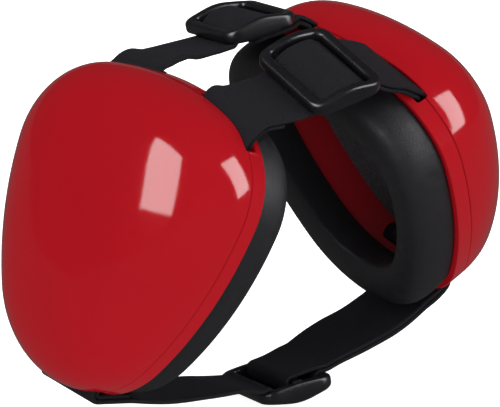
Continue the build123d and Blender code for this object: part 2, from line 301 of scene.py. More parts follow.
# ---------------------------------------------------------------- shells
def dome_surface(shares, first_n, inset, rows):
    """Rows of points up the dome from each column's first n almost to its pole."""
    height = DOME_N - SEAM_N - inset
    first = np.arcsin(((first_n - SEAM_N) / height) ** (DOME_POWER_N / 2))
    surface = []
    for i in range(rows):
        angle = first + (POLE_ANGLE - first) * i / (rows - 1)
        points = outline(shares, inset, np.cos(angle) ** (2 / DOME_POWER_K))
        surface.append(with_n(points, SEAM_N + height * np.sin(angle) ** (2 / DOME_POWER_N)))
    return surface


def build_dome(side, material):
    """Domed cover: outer skin, rounded rim with the three slots, and inner skin."""
    shares, openings = rim_columns()
    rim = SEAM_N + openings * (SLOT_HIGH_N - SEAM_N)
    outer = dome_surface(shares, rim + LIP_ROUND, 0.0, DOME_ROWS)
    inner = dome_surface(shares, rim + LIP_ROUND, WALL, INNER_ROWS)
    height = DOME_N - SEAM_N
    rim_angle = np.arcsin(((rim - SEAM_N) / height) ** (DOME_POWER_N / 2))
    scale = np.cos(rim_angle) ** (2 / DOME_POWER_K)
    lips = [
        with_n(outline(shares, WALL - LIP_ROUND, scale), rim),
        with_n(outline(shares, LIP_ROUND, scale), rim),
    ]
    rows = inner[::-1] + lips + outer
    points = np.concatenate(rows)
    columns = len(shares)
    faces = stack_faces(len(rows), columns)
    faces.append(tuple(range(columns))[::-1])
    faces.append(tuple(range(len(points) - columns, len(points))))
    points = from_cup(side, points)
    return add_mesh(f"{side_name(side)}_dome", points, outward(points, faces), material)


def build_ring(side, material):
    """Narrow ring between the dome and the cushion, notched for the straps."""
    shares, openings = rim_columns()
    top = RING_TOP - openings * (RING_TOP - SLOT_LOW_N)
    section = [
        (0.0, LIP_ROUND, 0),
        (0.0, -LIP_ROUND, 1),
        (LIP_ROUND, 0.0, 1),
        (WALL - LIP_ROUND, 0.0, 1),
        (WALL, -LIP_ROUND, 1),
        (WALL, LIP_ROUND, 0),
        (WALL - LIP_ROUND, 0.0, 0),
        (LIP_ROUND, 0.0, 0),
    ]
    rows = [with_n(outline(shares, inset), n + at_top * top) for inset, n, at_top in section]
    points = from_cup(side, np.concatenate(rows))
    faces = outward(points, stack_faces(len(rows), len(shares), loop=True))
    return add_mesh(f"{side_name(side)}_ring", points, faces, material)


def side_name(side):
    return "left" if side < 0 else "right"


# ---------------------------------------------------------------- cushions
def catmull(span, t):
    """Point a share t of the way between the two middle knots of four."""
    a, b, c, d = span
    return 0.5 * (2 * b + (c - a) * t + (2 * a - 5 * b + 4 * c - d) * t**2 + (3 * b - a - 3 * c + d) * t**3)


def closed_spline(knots, per_span):
    """Closed Catmull-Rom curve through the knots."""
    knots = np.asarray(knots, dtype=float)
    span = [np.roll(knots, k, axis=0) for k in (1, 0, -1, -2)]
    curve = [catmull(span, t) for t in np.arange(per_span) / per_span]
    return np.stack(curve, axis=1).reshape(-1, 2)


CUSHION_INSET = 1.9
CUSHION_LIP = 0.66
CUSHION_COLUMNS = 150
CUSHION_PUFF = 1.3
CLOTH_FRAMES = 15
CLOTH_STIFFNESS = 12
# cross-section as (share of the way from the outer wall to the inner lip, n)
CUSHION_SECTION = [
    (0.010, -0.15),
    (-0.020, -2.6),
    (-0.030, -6.4),
    (-0.005, -9.8),
    (0.090, -12.4),
    (0.260, -13.8),
    (0.500, -14.3),
    (0.760, -14.1),
    (0.930, -13.3),
    (1.000, -12.2),
    (0.975, -10.4),
    (0.880, -7.0),
    (0.750, -3.4),
    (0.620, -0.35),
    (0.450, -0.15),
    (0.230, -0.12),
]


def cushion_rows(section):
    """Rows of cup coordinates round the padded ring, one for each point of its section."""
    shares = np.arange(CUSHION_COLUMNS) / CUSHION_COLUMNS
    outer = outline(shares, CUSHION_INSET)
    inner = outline(shares, 0.0, CUSHION_LIP)
    return [with_n(outer + (inner - outer) * share, n) for share, n in section]


def puff_up(piece):
    """Inflate a cushion as cloth, pinned at its welded back, and cap how far it moves."""
    mesh = piece.data
    rest = np.empty(len(mesh.vertices) * 3)
    mesh.vertices.foreach_get("co", rest)
    rest = rest.reshape(-1, 3)
    pins = piece.vertex_groups.new(name="welded")
    back = np.flatnonzero(rest[:, 2] > -1.0 * MM)
    pins.add(back.tolist(), 1.0, "REPLACE")
    cloth = piece.modifiers.new("Cloth", "CLOTH")
    cloth.settings.vertex_group_mass = "welded"
    cloth.settings.use_pressure = True
    cloth.settings.uniform_pressure_force = 3.0
    cloth.settings.quality = 5
    cloth.settings.mass = 0.2
    cloth.settings.tension_stiffness = CLOTH_STIFFNESS
    cloth.settings.compression_stiffness = CLOTH_STIFFNESS
    cloth.settings.bending_stiffness = 0.6
    cloth.settings.effector_weights.gravity = 0
    for number in range(1, CLOTH_FRAMES + 1):
        bpy.context.scene.frame_set(number)
    evaluated = piece.evaluated_get(bpy.context.evaluated_depsgraph_get())
    moved = np.empty_like(rest).ravel()
    evaluated.data.vertices.foreach_get("co", moved)
    travel = moved.reshape(-1, 3) - rest
    length = np.linalg.norm(travel, axis=1, keepdims=True)
    cap = CUSHION_PUFF * MM
    travel *= np.minimum(1.0, cap / np.maximum(length, 1e-9))
    piece.modifiers.remove(cloth)
    piece.vertex_groups.clear()
    bpy.context.scene.frame_set(1)
    return (rest + travel) / MM


def cushion_shape(material):
    """Points of the padded ring in cup coordinates, with its faces."""
    rows = cushion_rows(closed_spline(CUSHION_SECTION, 3))
    points = np.concatenate(rows)
    faces = outward(points, stack_faces(len(rows), CUSHION_COLUMNS, loop=True))
    draft = add_mesh("cushion_draft", points, faces, material, sharp=0)
    points = puff_up(draft)
    bpy.data.objects.remove(draft)
    return points, faces


def build_cushion(side, shape, material):
    """Padded ring of one cup, with one level of subdivision."""
    name = side_name(side)
    points, faces = shape
    world = from_cup(side, points)
    cushion = add_mesh(f"{name}_cushion", world, outward(world, faces), material, sharp=0)
    smooth = cushion.modifiers.new("Smooth", "SUBSURF")
    smooth.levels = smooth.render_levels = 1
    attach(cushion, f"{name}_cup")
    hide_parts(f"{name}_cushion_cover", f"{name}_cushion_foam", f"{name}_cushion_backing")
    return cushion


# ---------------------------------------------------------------- collar and foam
COLLAR_INSET = 7.2
COLLAR_N = 12.5
FOAM_COLUMNS = 120
FOAM_ROWS = 26
FOAM_RIM_N = 11.2
FOAM_DISH = 4.5
FOAM_BACK_N = 20.5
FOAM_GAP = 0.2
FLANGE_N = 3.0
FLANGE_INSET = WALL + 0.15
COLLAR_WALL = 1.3
SEAT_N = 0.25


def build_collar(side, material):
    """Flange and collar that carry the cushion, seen through its opening."""
    name = side_name(side)
    shares = np.arange(FOAM_COLUMNS * 2) / (FOAM_COLUMNS * 2)
    section = [
        (COLLAR_INSET, SEAT_N),
        (COLLAR_INSET, COLLAR_N),
        (COLLAR_INSET - COLLAR_WALL, COLLAR_N),
        (COLLAR_INSET - COLLAR_WALL, FLANGE_N),
        (FLANGE_INSET, FLANGE_N),
        (FLANGE_INSET, SEAT_N),
    ]
    rows = [with_n(outline(shares, inset), n) for inset, n in section]
    points = from_cup(side, np.concatenate(rows))
    faces = outward(points, stack_faces(len(rows), len(shares), loop=True))
    collar = add_mesh(f"{name}_collar", points, faces, material)
    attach(collar, f"{name}_cup")
    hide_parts(f"{name}_cushion_plate")
    return collar


def build_foam(side, material):
    """Sound-absorbing insert with a dished, slightly lumpy face."""
    name = side_name(side)
    shares = np.arange(FOAM_COLUMNS) / FOAM_COLUMNS
    rows = []
    for i in range(FOAM_ROWS):
        scale = 0.02 + 0.98 * i / (FOAM_ROWS - 1)
        points = outline(shares, COLLAR_INSET + FOAM_GAP, scale)
        dish = FOAM_DISH * (1 - scale**2.2)
        lumps = 0.25 * np.sin(points[:, 0] * 0.55 + 1.0) * np.sin(points[:, 1] * 0.47)
        rows.append(with_n(points, FOAM_RIM_N + dish + lumps * (1 - scale**6)))
    for scale in (1.0, 0.5, 0.02):
        rows.append(with_n(outline(shares, COLLAR_INSET + 3 * FOAM_GAP, scale), FOAM_BACK_N))
    points = np.concatenate(rows)
    faces = stack_faces(len(rows), FOAM_COLUMNS)
    faces.append(tuple(range(FOAM_COLUMNS))[::-1])
    faces.append(tuple(range(len(points) - FOAM_COLUMNS, len(points))))
    world = from_cup(side, points)
    foam = add_mesh(f"{name}_foam", world, outward(world, faces), material)
    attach(foam, f"{name}_cup")
    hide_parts(f"{name}_foam_liner")
    return foam


# ---------------------------------------------------------------- straps
class StrapPlane:
    """Profile plane of a strap: an origin, its outward direction and the way across the webbing."""

    def __init__(self, origin, outwards, across):
        self.origin = np.array(origin, dtype=float)
        self.outwards = np.array(outwards, dtype=float)
        self.across = np.array(across, dtype=float)

    def to_profile(self, point, lean):
        """Profile x and y of a point, moved along the webbing's lean into the plane."""
        offset = np.array(point) - self.origin
        return (offset[0] + lean * (offset @ self.across), offset @ self.outwards)

    def from_profile(self, profile, aside, skew, twist):
        """Frame points at profile points, moved aside across a webbing that is skewed and twisted."""
        profile = np.asarray(profile)
        points = self.origin + profile[:, 1:2] * self.outwards
        points[:, 0] += profile[:, 0]
        across = np.outer(np.cos(twist), self.across) + np.outer(np.sin(twist), self.outwards)
        across[:, 0] += skew
        return points + np.reshape(aside, (-1, 1)) * across


def shifted(point, direction, distance):
    return (point[0] + direction[0] * distance, point[1] + direction[1] * distance)


def unit(start, end):
    """Unit direction between two profile points."""
    length = hypot(end[0] - start[0], end[1] - start[1])
    return ((end[0] - start[0]) / length, (end[1] - start[1]) / length)


def rounded_route(corners):
    """Profile points in steps along straight runs, with an arc of its radius at each corner."""
    pts = [np.array(point, dtype=float) for point, _ in corners]
    route = [pts[0]]
    for before, corner, after, (_, radius) in zip(pts, pts[1:], pts[2:], corners[1:]):
        back, ahead = before - corner, after - corner
        legs = (np.linalg.norm(back), np.linalg.norm(ahead))
        back, ahead = back / legs[0], ahead / legs[1]
        turn = pi - np.arccos(np.clip(back @ ahead, -1, 1))
        if not radius or turn < 1e-3:
            route.append(corner)
            continue
        reach = min(radius * tan(turn / 2), 0.49 * min(legs))
        radius = reach / tan(turn / 2)
        middle = (back + ahead) / np.linalg.norm(back + ahead)
        centre = corner + middle * hypot(radius, reach)
        start, end = corner + back * reach - centre, corner + ahead * reach - centre
        first = atan2(start[1], start[0])
        sweep = (atan2(end[1], end[0]) - first + pi) % (2 * pi) - pi
        count = max(3, round(degrees(turn) / 9))
        for i in range(count + 1):
            angle = first + sweep * i / count
            route.append(centre + radius * np.array((cos(angle), sin(angle))))
    route.append(pts[-1])
    dense = np.array(route)
    lengths = np.concatenate([[0], np.cumsum(np.linalg.norm(np.diff(dense, axis=0), axis=1))])
    extra = np.arange(0, lengths[-1], ROUTE_STEP)
    extra = extra[np.min(abs(extra[:, None] - lengths[None, :]), axis=1) > ROUTE_STEP / 3]
    steps = np.sort(np.concatenate([lengths, extra]))
    return np.stack([np.interp(steps, lengths, dense[:, k]) for k in (0, 1)], axis=1)


def open_spline(knots, per_span):
    """Catmull-Rom curve through the knots from the first to the last."""
    knots = np.asarray(knots, dtype=float)
    padded = np.concatenate([2 * knots[:1] - knots[1:2], knots, 2 * knots[-1:] - knots[-2:-1]])
    curve = []
    for span in zip(padded, padded[1:], padded[2:], padded[3:]):
        curve += [catmull(span, t) for t in np.arange(per_span) / per_span]
    return np.array(curve + [knots[-1]])


def webbing_section(width, thickness):
    """Closed section of the webbing: across and height, with rounded selvages."""
    half, r = width / 2, thickness / 2
    sides = []
    for end in (1, -1):
        xs = np.linspace(-end * (half - r), end * (half - r), SECTION_FLAT)
        sides += [(x, end * -r) for x in xs]
        for angle in (-60, -30, 0, 30, 60):
            sides.append((end * (half - r + r * cos(radians(angle))), end * r * sin(radians(angle))))
    return np.array(sides)


def smoothstep(value, low, high):
    share = np.clip((value - low) / (high - low), 0, 1)
    return share * share * (3 - 2 * share)


def eased(x, knots):
    """Value at x that eases from knot to knot, each an x and a value."""
    x = np.asarray(x, dtype=float)
    value = np.full(x.shape, float(knots[0][1]))
    for (x0, v0), (x1, v1) in zip(knots, knots[1:]):
        value += (v1 - v0) * smoothstep(x, x0, x1)
    return value


class Strap:
    """Where a strap's webbing runs, and how it slopes, twists and skews on the way."""

    def __init__(self, name, plane, slot, lean, face, left, right, slider, roll, yaw, twist, holds, hem):
        self.name, self.plane, self.face, self.lean = name, plane, face, lean
        self.left, self.right, self.slider = left, right, slider
        self.roll, self.yaw, self.twist = roll, yaw, twist
        # along x, where each cup's hold on the webbing begins and where it is whole
        self.left_hold, self.right_hold = holds
        # length of the inner layer at the left bar, from the strap's first point
        self.hem = hem
        mouth, self.bar = [
            plane.to_profile(from_cup(1, [(*beside_slot(slot, 0, depth), n)])[0], lean)
            for depth, n in ((0, SEAM_N), (BAR_DEPTH, BAR_N))
        ]
        self.inward = unit(mouth, self.bar)

    def skew(self, x):
        """Skew of the webbing along its profile: its lean at both cups and its yaw at the slider."""
        middle, near = tan(self.yaw), self.slider[0]
        knots = [(near - 24, self.lean), (near - 11, middle), (near + 11, middle), (near + 23, -self.lean)]
        return eased(x, knots)

    def at_slider(self, along, height):
        """Profile point a distance along the webbing from the slider's middle and a height outwards."""
        c, s = cos(self.roll), sin(self.roll)
        x = self.slider[0] + along * c - self.face * height * s
        return (x, self.slider[1] + along * s + self.face * height * c)

    def bar_loop(self):
        """Outer and inner corner of the loop round the right-hand bar."""
        bar_side = (abs(self.inward[1]), self.inward[0] if self.inward[1] < 0 else -self.inward[0])
        return [shifted(shifted(self.bar, bar_side, end * LOOP_R), self.inward, LOOP_R) for end in (1, -1)]

    def inner_side(self, curve):
        """Curve from left to right moved to the strap's inner side by one layer."""
        tangent = np.gradient(curve, axis=0)
        tangent /= np.linalg.norm(tangent, axis=1, keepdims=True)
        return curve + self.face * LAYER_STEP * np.stack([tangent[:, 1], -tangent[:, 0]], axis=1)

    def routes(self):
        """Profile route from the hem round the left bar, over the slider, and back from the right bar."""
        over = [self.at_slider(*spot) for spot in OVER_SLIDER]
        course = open_spline(self.left + over + self.right, 6)
        small = LOOP_R - 0.05
        outer, inner = self.bar_loop()
        left_inner = self.inner_side(course[course[:, 0] < self.left[0][0] + self.hem])[::-1]
        right_inner = self.inner_side(course[course[:, 0] > self.at_slider(SLIDER_WIDTH / 2, 0)[0]])[::-1]
        corners = [(point, 0) for point in left_inner]
        corners += [((-inner[0], inner[1]), small), ((-outer[0], outer[1]), small)]
        corners += [(point, 0) for point in course]
        corners += [(outer, small), (inner, small)]
        corners += [(point, 0) for point in right_inner]
        corners += [(self.at_slider(*spot), radius) for *spot, radius in ROUND_SLIDER_BAR]
        return rounded_route(corners)

    def build(self):
        """Rows of section points along the route, with the lengths along it."""
        route = self.routes()
        section = webbing_section(WEB_WIDTH, WEB_T)
        lengths = np.concatenate([[0], np.cumsum(np.linalg.norm(np.diff(route, axis=0), axis=1))])
        tangent = np.gradient(route, axis=0)
        tangent /= np.linalg.norm(tangent, axis=1, keepdims=True)
        normal = np.stack([-tangent[:, 1], tangent[:, 0]], axis=1)
        skew = self.skew(route[:, 0])
        twist = np.radians(eased(route[:, 0], self.twist))
        lines = [
            self.plane.from_profile(route + normal * height, np.full(len(route), aside), skew, twist)
            for aside, height in section
        ]
        return np.stack(lines, axis=1), lengths, section, route


# the webbing's outer layer over the slider's middle bar: along and height
OVER_SLIDER = [
    (-13.0, 0.0),
    (-9.8, 0.1),
    (-7.3, 2.6),
    (-4.0, 4.6),
    (0.0, 4.95),
    (4.0, 4.5),
    (7.0, 2.4),
    (9.6, 0.1),
    (13.0, 0.0),
]
# its folded end round that bar: along, height and corner radius
ROUND_SLIDER_BAR = [
    (9.0, -1.6, 4.0),
    (3.0, -1.3, 1.2),
    (-2.75, -1.3, 1.2),
    (-2.75, 3.25, 1.2),
    (3.0, 3.25, 0),
]


def ribbon_piece(name, rows, lengths, section, material):
    """Closed length of webbing from rows of section points."""
    count = rows.shape[1]
    points = rows.reshape(-1, 3)
    faces = stack_faces(len(rows), count)
    faces.append(tuple(range(count))[::-1])
    faces.append(tuple(range(len(points) - count, len(points))))
    across = np.tile(section[:, 0], len(rows))
    along = np.repeat(lengths, count)
    uvs = np.stack([along, across], axis=1) * MM * 10
    return add_mesh(name, points, outward(points, faces), material, uvs=uvs)


def blend_closed(piece, free_rows, held_row):
    """Bake the piece's transform into its mesh; an axis is worked out from the rows but not used."""
    across = held_row[0] - held_row[SECTION_FLAT - 1]
    axis = np.array((1.0, 0, 0)) - across[0] / (across @ across) * across
    axis *= np.sign((held_row - free_rows[0]).mean(axis=0) @ axis)
    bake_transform(piece)


def build_strap(strap, material):
    """One strap's webbing in lengths that meet at cuts; the length over the slider is attached to it."""
    rows, lengths, section, route = strap.build()
    x = route[:, 0]
    slider = f"{strap.name}_slider"
    # the webbing passes the slider first, and its folded end comes back to it last
    far_right = int(np.argmax(x))
    far_left = int(np.argmin(x))
    (left_free, left_held), (right_free, right_held) = strap.left_hold, strap.right_hold
    left_join = strap.slider[0] - SLIDER_WIDTH / 2 - JOIN_GAP
    right_join = strap.slider[0] + SLIDER_WIDTH / 2 + JOIN_GAP
    cuts = [
        0,
        next(i for i in range(far_left, len(x)) if x[i] > left_free),
        next(i for i in range(far_left, len(x)) if x[i] > left_join),
        next(i for i in range(far_left, len(x)) if x[i] > right_join),
        next(i for i in range(far_left, len(x)) if x[i] > right_free),
        next(i for i in range(far_right, len(x)) if x[i] < right_free),
        next(i for i in range(far_right, len(x)) if x[i] < right_join),
        len(x) - 1,
    ]
    spans = ["left_end", "left_run", "over_slider", "right_run", "right_end", "return_run", "return_end"]
    for span, first, last in zip(spans, cuts, cuts[1:]):
        if last - first < 2:
            continue
        part = slice(first, last + 1)
        piece = ribbon_piece(
            f"{strap.name}_webbing_{span}", rows[part], lengths[part], section, material
        )
        if span == "left_end":
            held = rows[next(i for i in range(far_left, len(x)) if x[i] > left_held)]
            blend_closed(piece, [rows[last]], held)
            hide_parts(f"{strap.name}_strap")
        elif span == "right_end":
            held = rows[next(i for i in range(far_left, len(x)) if x[i] > right_held)]
            blend_closed(piece, [rows[first], rows[last]], held)
        elif span == "right_run":
            blend_closed(piece, [rows[last]], rows[first])
        elif span in ("left_run", "return_run"):
            blend_closed(piece, [rows[first]], rows[last])
        else:
            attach(piece, slider)


# ---------------------------------------------------------------- sliders
def rounded_rectangle(length, width, radius, per_corner):
    """Closed points anticlockwise from the middle of the +x side, y along the length."""
    points = []
    for sx, sy, first in ((1, 1, 0), (-1, 1, 90), (-1, -1, 180), (1, -1, 270)):
        for i in range(per_corner + 1):
            angle = radians(first + 90 * i / per_corner)
            points.append(
                (
                    sx * (width / 2 - radius) + radius * cos(angle),
                    sy * (length / 2 - radius) + radius * sin(angle),
                )
            )
    return points


def frame_ring(length, width, radius):
    """Rounded rectangle with its straight sides divided, for one ring of the slider's frame."""
    corner, side = 7, 14
    outline_points = rounded_rectangle(length, width, radius, corner)
    ring = []
    for i, (a, b) in enumerate(zip(outline_points, outline_points[1:] + outline_points[:1])):
        count = 1 if (i + 1) % (corner + 1) else side
        ring += [(a[0] + (b[0] - a[0]) * k / count, a[1] + (b[1] - a[1]) * k / count) for k in range(count)]
    return np.array(ring)


# section of the slider's frame: share of the way inwards, and level from its bottom to its top
FRAME_SECTION = [
    (0.0, 0.25), (0.0, 0.72), (0.05, 0.88), (0.15, 0.97), (0.32, 1.0),
    (0.68, 1.0), (0.85, 0.96), (0.95, 0.86), (1.0, 0.70), (1.0, 0.25),
    (0.94, 0.10), (0.82, 0.02), (0.64, 0.0), (0.36, 0.0), (0.18, 0.02), (0.06, 0.10),
]


def slider_frame():
    """Points and faces of the slider's frame: low side bars, and end rails that arch between them."""
    outer = frame_ring(SLIDER_LENGTH, SLIDER_WIDTH, SLIDER_CORNER)
    inner = frame_ring(SLIDER_LENGTH - 2 * RAIL_W, SLIDER_WIDTH - 2 * SIDE_BAR_W, 1.8)
    half = SLIDER_WIDTH / 2
    rows = []
    for share, level in FRAME_SECTION:
        flat = outer + (inner - outer) * share
        arch = 0.5 + 0.5 * np.cos(pi * np.clip(flat[:, 0] / half, -1, 1))
        end = smoothstep(abs(flat[:, 1]), SLIDER_LENGTH / 2 - RAIL_W - 4.0, SLIDER_LENGTH / 2 - RAIL_W)
        high = SIDE_HIGH + RAIL_ARCH * arch * end
        low = SIDE_LOW + (RAIL_LOW - SIDE_LOW) * np.sqrt(arch) * end
        rows.append(np.column_stack([flat, low + (high - low) * level]))
    points = np.concatenate(rows)
    return points, stack_faces(len(rows), len(outer), loop=True)


def middle_bar():
    """Points and faces of the bar between the end rails, with a rounded section."""
    half = SLIDER_LENGTH / 2 - RAIL_W / 2
    section = rounded_rectangle(MIDDLE_HIGH - MIDDLE_LOW, MIDDLE_BAR_W, 0.7, 4)
    centre = (MIDDLE_HIGH + MIDDLE_LOW) / 2
    rows = [
        np.array([(x, y, centre + z) for x, z in section]) for y in np.linspace(-half, half, 12)
    ]
    points = np.concatenate(rows)
    count = len(section)
    faces = stack_faces(len(rows), count)
    faces.append(tuple(range(count))[::-1])
    faces.append(tuple(range(len(points) - count, len(points))))
    return points, faces


def build_slider(strap, material):
    """Tri-glide of a strap, turned with its webbing."""
    frame_points, frame_faces = slider_frame()
    bar_points, bar_faces = middle_bar()
    frame_faces, bar_faces = outward(frame_points, frame_faces), outward(bar_points, bar_faces)
    local = np.concatenate([frame_points, bar_points])
    faces = frame_faces + [tuple(len(frame_points) + k for k in face) for face in bar_faces]
    twist = np.radians(eased(strap.slider[0], strap.twist))
    across = cos(twist) * strap.plane.across + sin(twist) * strap.plane.outwards
    along = cos(strap.roll) * np.array((1.0, 0, 0)) + sin(strap.roll) * strap.plane.outwards
    height = np.cross(along, across)
    height *= strap.face * np.sign(height @ strap.plane.outwards) / np.linalg.norm(height)
    c, s = cos(strap.yaw), sin(strap.yaw)
    along_part = local[:, 0] * c + local[:, 1] * s
    aside_part = -local[:, 0] * s + local[:, 1] * c
    centre = strap.plane.origin + strap.slider[1] * strap.plane.outwards + (strap.slider[0], 0, 0)
    points = (
        centre + np.outer(along_part, along) + np.outer(aside_part, across) + np.outer(local[:, 2], height)
    )
    if np.cross(along, across) @ height < 0:
        faces = [face[::-1] for face in faces]
    slider = add_mesh(f"{strap.name}_triglide", points, faces, material, sharp=50)
    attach(slider, f"{strap.name}_slider")
    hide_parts(f"{strap.name}_slider")
    return slider


def all_straps():
    """The front, rear and chin straps."""
    front, rear, bottom = slot_places()
    slope = radians(SLOT_SLOPE)
    tilt = atan2(sin(slope) * cos(CUP_CANT), cos(slope))
    top_z = from_cup(1, [(0, SLOT_V, SEAM_N)])[0][2]
    planes = {
        name: StrapPlane(
            (0, face_side * SLOT_U, top_z),
            (0, face_side * sin(tilt), cos(tilt)),
            (0, -cos(tilt), face_side * sin(tilt)),
        )
        for name, face_side in (("front", -1), ("rear", 1))
    }
    lean = sin(CUP_CANT) * tan(slope) * cos(tilt)
    return [
        Strap(
            "front", planes["front"], front, -lean, 1,
            [(-32.3, -0.4), (-31.2, 1.8), (-29.0, 3.3), (-25.5, 3.6), (-20.0, 3.2), (-14.0, 3.1)],
            [(18.8, 6.9), (25.0, 4.4), (31.6, 0.8)],
            (1.6, 6.1), radians(12), radians(-3),
            [(-32, 0), (-25, 11), (-14, 9), (-6, 6), (12, 6), (22, 0), (30, -2), (36, 0)],
            ((-24, -36), (26, 36)), HEM,
        ),
        Strap(
            "rear", planes["rear"], rear, lean, 1,
            [(-31.0, -1.4), (-28.3, -0.2), (-25.7, 0.5), (-22.8, 1.4), (-19.6, 1.8), (-17.6, 1.5),
             (-15.4, 0.8), (-11.0, 0.6)],
            [(28.2, 3.2), (31.8, 0.9)],
            (12.8, 1.6), radians(5), radians(-12),
            [(-31, 0), (-20, -5), (-8, -4), (2, -3), (24, -3), (31, 0)],
            ((-24, -36), (28.5, 36)), REAR_HEM,
        ),
        Strap(
            "chin", StrapPlane((0, 0, 0), (0, 0, 1), (0, -1, 0)), bottom, 0.0, -1,
            [(-69.6, -38.2), (-68.6, -39.9), (-64.0, -41.5), (-52.0, -46.1), (-38.6, -50.4), (-25.0, -53.2),
             (-13.0, -55.3)],
            [(29.0, -55.9), (39.0, -53.8), (49.5, -51.7), (60.0, -47.6), (67.0, -42.6), (69.8, -40.0),
             (69.8, -38.0)],
            (10.8, -57.8), radians(2.5), radians(-11),
            [(-68, 0), (-52, 7), (-20, 10), (-6, 13), (12, 13), (26, 9), (40, 6), (52, 6.5), (60, 8),
             (68, 0)],
            ((-26, -62), (36, 64)), HEM,
        ),
    ]


# ---------------------------------------------------------------- materials
class Finish:
    """A node material under construction."""

    def __init__(self, name, colour, roughness, **sockets):
        self.material = bpy.data.materials.new(name)
        self.material.use_nodes = True
        self.nodes = self.material.node_tree.nodes
        self.links = self.material.node_tree.links
        self.shader = self.nodes["Principled BSDF"]
        self.shader.inputs["Base Color"].default_value = (*colour, 1)
        self.shader.inputs["Roughness"].default_value = roughness
        for socket, value in sockets.items():
            self.shader.inputs[socket.replace("_", " ")].default_value = value

    def node(self, kind, **settings):
        """New node with its settings and its input values or links."""
        made = self.nodes.new(kind)
        for key, value in settings.items():
            if hasattr(made, key):
                setattr(made, key, value)
            elif isinstance(value, bpy.types.NodeSocket):
                self.links.new(value, made.inputs[key.replace("_", " ")])
            else:
                made.inputs[key.replace("_", " ")].default_value = value
        return made

    def maths(self, operation, *values):
        made = self.nodes.new("ShaderNodeMath")
        made.operation = operation
        for socket, value in zip(made.inputs, values):
            if isinstance(value, bpy.types.NodeSocket):
                self.links.new(value, socket)
            else:
                socket.default_value = value
        return made.outputs[0]

    def place(self):
        return self.node("ShaderNodeTexCoord").outputs["Object"]

    def noise(self, scale, detail=2.0, vector=None):
        vector = vector or self.place()
        return self.node("ShaderNodeTexNoise", Vector=vector, Scale=scale, Detail=detail).outputs["Fac"]

    def ramp(self, value, low, high, from_low=0.0, from_high=1.0):
        """Value mapped from one range to another."""
        made = self.node("ShaderNodeMapRange", Value=value)
        made.inputs["From Min"].default_value = from_low
        made.inputs["From Max"].default_value = from_high
        made.inputs["To Min"].default_value = low
        made.inputs["To Max"].default_value = high
        return made.outputs["Result"]

    def tint(self, factor, first, second):
        """Base colour mixed between two colours by the factor."""
        made = self.node("ShaderNodeMix", data_type="RGBA")
        self.links.new(factor, made.inputs["Factor"])
        made.inputs["A"].default_value = (*first, 1)
        made.inputs["B"].default_value = (*second, 1)
        self.links.new(made.outputs["Result"], self.shader.inputs["Base Color"])

    def rough(self, value):
        self.links.new(value, self.shader.inputs["Roughness"])

    def bump(self, height, distance, strength=1.0):
        """Bump of a height from 0 to 1 that stands a distance in millimetres."""
        made = self.node("ShaderNodeBump", Height=height, Strength=strength, Distance=distance * MM)
        self.links.new(made.outputs["Normal"], self.shader.inputs["Normal"])


def red_plastic():
    """Glossy crimson ABS with faint moulding variation and hairline scuffs."""
    made = Finish("red_plastic", (0.42, 0.005, 0.011), 0.10, IOR=1.46)
    clouds = made.noise(9.0, 3.0)
    made.tint(made.ramp(clouds, 0, 1, 0.3, 0.7), (0.405, 0.0045, 0.0105), (0.435, 0.0060, 0.0125))
    fine = made.noise(900.0, 4.0)
    made.rough(made.ramp(fine, 0.07, 0.13, 0.35, 0.75))
    made.bump(made.noise(60.0, 1.0), 0.02)
    return made.material


def dark_red_plastic():
    """Satin inner moulding of the same colour, without the polish."""
    made = Finish("inner_red_plastic", (0.20, 0.004, 0.007), 0.42)
    made.tint(made.noise(30.0, 3.0), (0.30, 0.004, 0.009), (0.38, 0.006, 0.013))
    made.rough(made.ramp(made.noise(700.0, 3.0), 0.36, 0.5))
    made.bump(made.noise(1600.0, 2.0), 0.02)
    return made.material


def cushion_skin():
    """Soft black protein leather: fine grain, broad creases and a low sheen."""
    made = Finish("cushion_skin", (0.014, 0.014, 0.015), 0.5, Specular_IOR_Level=0.3)
    made.tint(made.noise(25.0, 3.0), (0.0115, 0.0110, 0.0130), (0.0160, 0.0152, 0.0178))
    cells = made.node("ShaderNodeTexVoronoi", Vector=made.place(), Scale=1500.0).outputs["Distance"]
    grain = made.maths("ADD", cells, made.noise(2600.0, 3.0))
    made.rough(made.ramp(made.noise(300.0, 3.0), 0.44, 0.60, 0.3, 0.7))
    made.bump(grain, 0.035)
    return made.material


def foam():
    """Open-cell black foam."""
    made = Finish("foam", (0.010, 0.010, 0.011), 0.95, Specular_IOR_Level=0.1)
    cells = made.node("ShaderNodeTexVoronoi", Vector=made.place(), Scale=1100.0).outputs["Distance"]
    # painted light and shade: the black foam's colours are lightened to make up for the shade deep in the
    # cup, and each cell is darker in its middle, where the bump sinks a pit
    made.tint(cells, (0.048, 0.046, 0.051), (0.092, 0.089, 0.097))
    made.bump(cells, 0.35)
    return made.material


# the weave's rib and pick in the webbing's own UVs, where 1 is 100 mm
RIB = 0.0085
PICK = 0.0110


